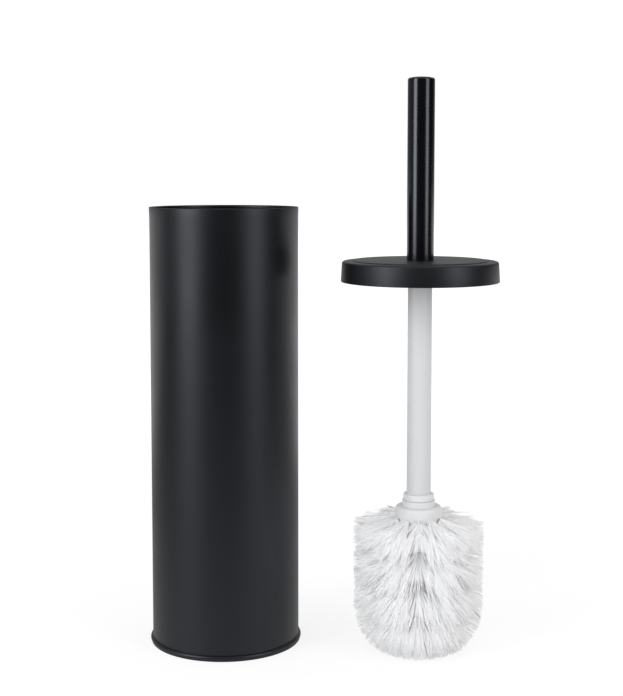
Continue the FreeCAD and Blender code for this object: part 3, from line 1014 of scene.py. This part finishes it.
def make_end_tufts(bristles, shape):
    """The tufts under the hub's foot, which spread to fill the rounded end."""
    scatter = random.Random(bristles.seed + 50)
    mesh = bmesh.new()
    places = [Vector((0, 0, 0))]
    for angle in even_angles(6, FRONT + bristles.column_turn):
        places.append(Vector((END_RING * math.cos(angle), END_RING * math.sin(angle), 0)))
    for place in places:
        lean = place / END_RING
        for _ in range(bristles.filaments):
            offset = clipped(Vector((scatter.gauss(0, 0.0009), scatter.gauss(0, 0.0009), 0)), 0.0017)
            start = place + offset + Vector((0, 0, shape.hub_bottom + END_HOLE_DEPTH))
            bend = start + Vector((0, 0, -END_STRAIGHT))
            aside = lean * scatter.uniform(0.05, 0.75) + offset * 260 + Vector(
                (scatter.gauss(0, 0.12), scatter.gauss(0, 0.12), 0))
            direction = (aside + Vector((0, 0, -1))).normalized()
            tip = bend + direction * shape.reach(bend, direction) * trimmed(scatter)
            filament(mesh, bristles, start, bend, tip, Vector((0, 0, 0)), scatter)
    return strands(mesh, "end_tuft_filaments", shape)


def filament(mesh, bristles, start, bend, tip, sag, scatter, pieces=5, sides=3):
    """A thin three-sided rod along a curve from the start, past the bend, to a trimmed tip."""
    radius = bristles.thickness / 2 * scatter.uniform(0.85, 1.12)
    reach = (tip - bend).length
    knee = bend + (tip - bend) * 0.18 + (bend - start) * 0.25
    rings = []
    twist = scatter.uniform(0, math.pi)
    for step in range(pieces + 1):
        part = step / pieces
        if step == 0:
            centre = start
            ahead = bend - start
        else:
            along = (step - 1) / (pieces - 1)
            centre = bend * (1 - along) ** 2 + knee * (2 * along * (1 - along)) + tip * along ** 2
            ahead = (knee - bend) * (1 - along) + (tip - knee) * along
            centre = centre + sag * (4 * along * (1 - along)) * (reach / 0.03)
        ahead = ahead.normalized()
        side = ahead.orthogonal().normalized()
        up = ahead.cross(side)
        thin = radius * (1.0 - 0.25 * part)
        ring = []
        for corner in range(sides):
            angle = twist + 2 * math.pi * corner / sides
            ring.append(mesh.verts.new(centre + (side * math.cos(angle) + up * math.sin(angle)) * thin))
        rings.append(ring)
    for ring, following in zip(rings, rings[1:]):
        join_rings(mesh, ring, following)
    mesh.faces.new(rings[0][::-1])
    mesh.faces.new(rings[-1])


def strands(mesh, name, shape):
    """The filaments as one piece, moved on to the brush's axis."""
    bmesh.ops.recalc_face_normals(mesh, faces=mesh.faces)
    bmesh.ops.translate(mesh, verts=mesh.verts, vec=shape.axis)
    return linked(mesh, name)


# ---------------------------------------------------------------- the stage


LAMP_CLEARANCE = 0.02


class MakeStage(bpy.types.Operator):
    """Make the pale floor, the white surroundings, the two soft lamps and the camera"""

    bl_idname = "toilet_brush.make_stage"
    bl_label = "Stage"

    def execute(self, context):
        stage = context.scene.toilet_brush_stage
        context.scene.view_settings.view_transform = "Standard"
        make_camera(context, stage)
        make_floor(stage)
        make_surroundings(context, stage)
        make_lamp(
            "Left softbox", stage, stage.left_angle, stage.left_width, stage.left_light,
            (0.97, 0.985, 1.0))
        make_lamp(
            "Right softbox", stage, stage.right_angle, stage.right_width, stage.right_light,
            (1.0, 0.985, 1.0))
        return {"FINISHED"}


def make_camera(context, stage):
    data = bpy.data.cameras.new("Camera")
    camera = bpy.data.objects.new("Camera", data)
    context.collection.objects.link(camera)
    data.lens = stage.camera_lens
    data.sensor_width = 36.0
    data.shift_y = stage.camera_shift
    data.clip_start = 0.02
    data.clip_end = 50.0
    camera.location = (stage.camera_side, -stage.camera_away, stage.camera_height)
    camera.rotation_euler = (math.radians(90) - stage.camera_tilt, 0, 0)
    context.scene.camera = camera


def make_floor(stage):
    mesh = bmesh.new()
    half = stage.floor_size / 2
    sides = ((-half, -half), (half, -half), (half, half), (-half, half))
    mesh.faces.new([mesh.verts.new((x, y, 0)) for x, y in sides])
    floor = with_sharp_edges(mesh, "Floor")
    floor.data.materials.append(floor_material())


def floor_material():
    """White paper. Away from the object it stays white to the eye. To mirrored rays it glows instead, as a
    painted reflection: a dim sweep, brightest near the object and behind it.
    """
    material = bpy.data.materials.new("White Floor")
    build = emptied(material)
    path = build.add("ShaderNodeLightPath")
    place = build.add("ShaderNodeTexCoord")
    away = build.add("ShaderNodeVectorMath", {0: place.outputs["Object"]}, operation="LENGTH")
    split = build.add("ShaderNodeSeparateXYZ", {"Vector": place.outputs["Object"]})
    lit = build.ramp(away.outputs["Value"], [(0.30, 0.72), (0.85, 1.0)])
    # Painted reflection: for mirrored rays the floor glows rather than reflects, more near the object and
    # behind it, fading with distance.
    near = build.ramp(away.outputs["Value"], [(0.15, 0.55), (0.9, 0.02)], smooth=True)
    behind = build.ramp(split.outputs["Y"], [(0.15, 0.0), (0.7, 1.15)])
    mirrored = build.add("ShaderNodeMath", {0: near, 1: behind}, operation="MAXIMUM")
    paper = build.add("ShaderNodeBsdfDiffuse", {"Color": PAPER})
    white = build.add("ShaderNodeEmission", {"Color": WHITE, "Strength": 1.12})
    sweep = build.add("ShaderNodeEmission", {"Color": WHITE, "Strength": mirrored.outputs[0]})
    seen = build.add("ShaderNodeMath", {0: path.outputs["Is Camera Ray"], 1: lit}, operation="MULTIPLY")
    eye = build.add("ShaderNodeMixShader", {
        0: seen.outputs[0], 1: paper.outputs["BSDF"], 2: white.outputs["Emission"]})
    mirror = build.add("ShaderNodeMixShader", {
        0: path.outputs["Is Glossy Ray"], 1: eye.outputs["Shader"], 2: sweep.outputs["Emission"]})
    build.add("ShaderNodeOutputMaterial", {"Surface": mirror.outputs["Shader"]})
    return material


def make_surroundings(context, stage):
    """White to the eye; to the object, an even soft light, dark in front where it is mirrored."""
    world = bpy.data.worlds.new("Studio Surroundings")
    context.scene.world = world
    build = emptied(world)
    path = build.add("ShaderNodeLightPath")
    place = build.add("ShaderNodeTexCoord")
    split = build.add("ShaderNodeSeparateXYZ", {"Vector": place.outputs["Generated"]})
    depth = build.add("ShaderNodeMath", {0: split.outputs["Y"], 1: 0.5, 2: 0.5}, operation="MULTIPLY_ADD")
    behind = build.ramp(depth.outputs[0], [(0.60, 0.01), (0.85, 0.20), (1.0, 0.5)])
    left = build.add("ShaderNodeMath", {0: split.outputs["X"], 1: -0.5, 2: 0.5}, operation="MULTIPLY_ADD")
    beside = build.ramp(left.outputs[0], [(0.80, 0.0), (0.98, 0.18)])
    above = build.ramp(split.outputs["Z"], [(0.25, 0.0), (0.9, 0.5)])
    first = build.add("ShaderNodeMath", {0: behind, 1: beside}, operation="ADD")
    room = build.add("ShaderNodeMath", {0: first.outputs[0], 1: above}, operation="ADD")
    soft = build.add("ShaderNodeMix", {
        "Factor": path.outputs["Is Diffuse Ray"], "A": room.outputs[0], "B": stage.soft_light})
    strength = build.add("ShaderNodeMix", {
        "Factor": path.outputs["Is Camera Ray"], "A": soft.outputs["Result"], "B": 1.0})
    back = build.add("ShaderNodeBackground", {
        "Color": WHITE, "Strength": strength.outputs["Result"]})
    build.add("ShaderNodeOutputWorld", {"Surface": back.outputs["Background"]})


def make_lamp(name, stage, angle, width, radiance, colour):
    """A tall softbox that stands on the floor and faces the object."""
    data = bpy.data.lights.new(name, "AREA")
    data.shape = "RECTANGLE"
    data.size = width
    data.size_y = stage.lamp_height
    data.energy = radiance * math.pi * width * stage.lamp_height
    data.color = colour
    lamp = bpy.data.objects.new(name, data)
    side, front = stage.lamp_distance * math.sin(angle), -stage.lamp_distance * math.cos(angle)
    lamp.location = (side, front, stage.lamp_height / 2 + LAMP_CLEARANCE)
    lamp.rotation_euler = (math.radians(90), 0, angle)
    lamp.visible_camera = False
    bpy.context.collection.objects.link(lamp)


# ---------------------------------------------------------------- the panel


OPERATORS = (
    MakeStage,
    MakeCan,
    MakeDripCup,
    MakeLid,
    MakeHandle,
    MakeStem,
    FinishHub,
    FinishFittings,
    MakeBristles,
)


class BrushHolderPanel(bpy.types.Panel):
    """Lists the pieces of the toilet brush holder and their settings"""

    bl_idname = "VIEW3D_PT_toilet_brush_holder"
    bl_label = "Toilet Brush Holder"
    bl_space_type = "VIEW_3D"
    bl_region_type = "UI"
    bl_category = "Brush Holder"

    def draw(self, context):
        layout = self.layout
        for operator in OPERATORS:
            layout.operator(operator.bl_idname)
        for group in SETTINGS:
            box = layout.box()
            box.label(text=SETTINGS[group].__doc__)
            values = getattr(context.scene, group)
            for name in SETTINGS[group].__annotations__:
                box.prop(values, name)


def register():
    for cls in (*SETTINGS.values(), *OPERATORS, BrushHolderPanel):
        bpy.utils.register_class(cls)
    for name, cls in SETTINGS.items():
        setattr(bpy.types.Scene, name, bpy.props.PointerProperty(type=cls))


def unregister():
    for name in SETTINGS:
        delattr(bpy.types.Scene, name)
    for cls in reversed((*SETTINGS.values(), *OPERATORS, BrushHolderPanel)):
        bpy.utils.unregister_class(cls)


def main():
    register()
    for operator in OPERATORS:
        getattr(bpy.ops.toilet_brush, operator.bl_idname.split(".")[1])()


if __name__ == "__main__":
    main()
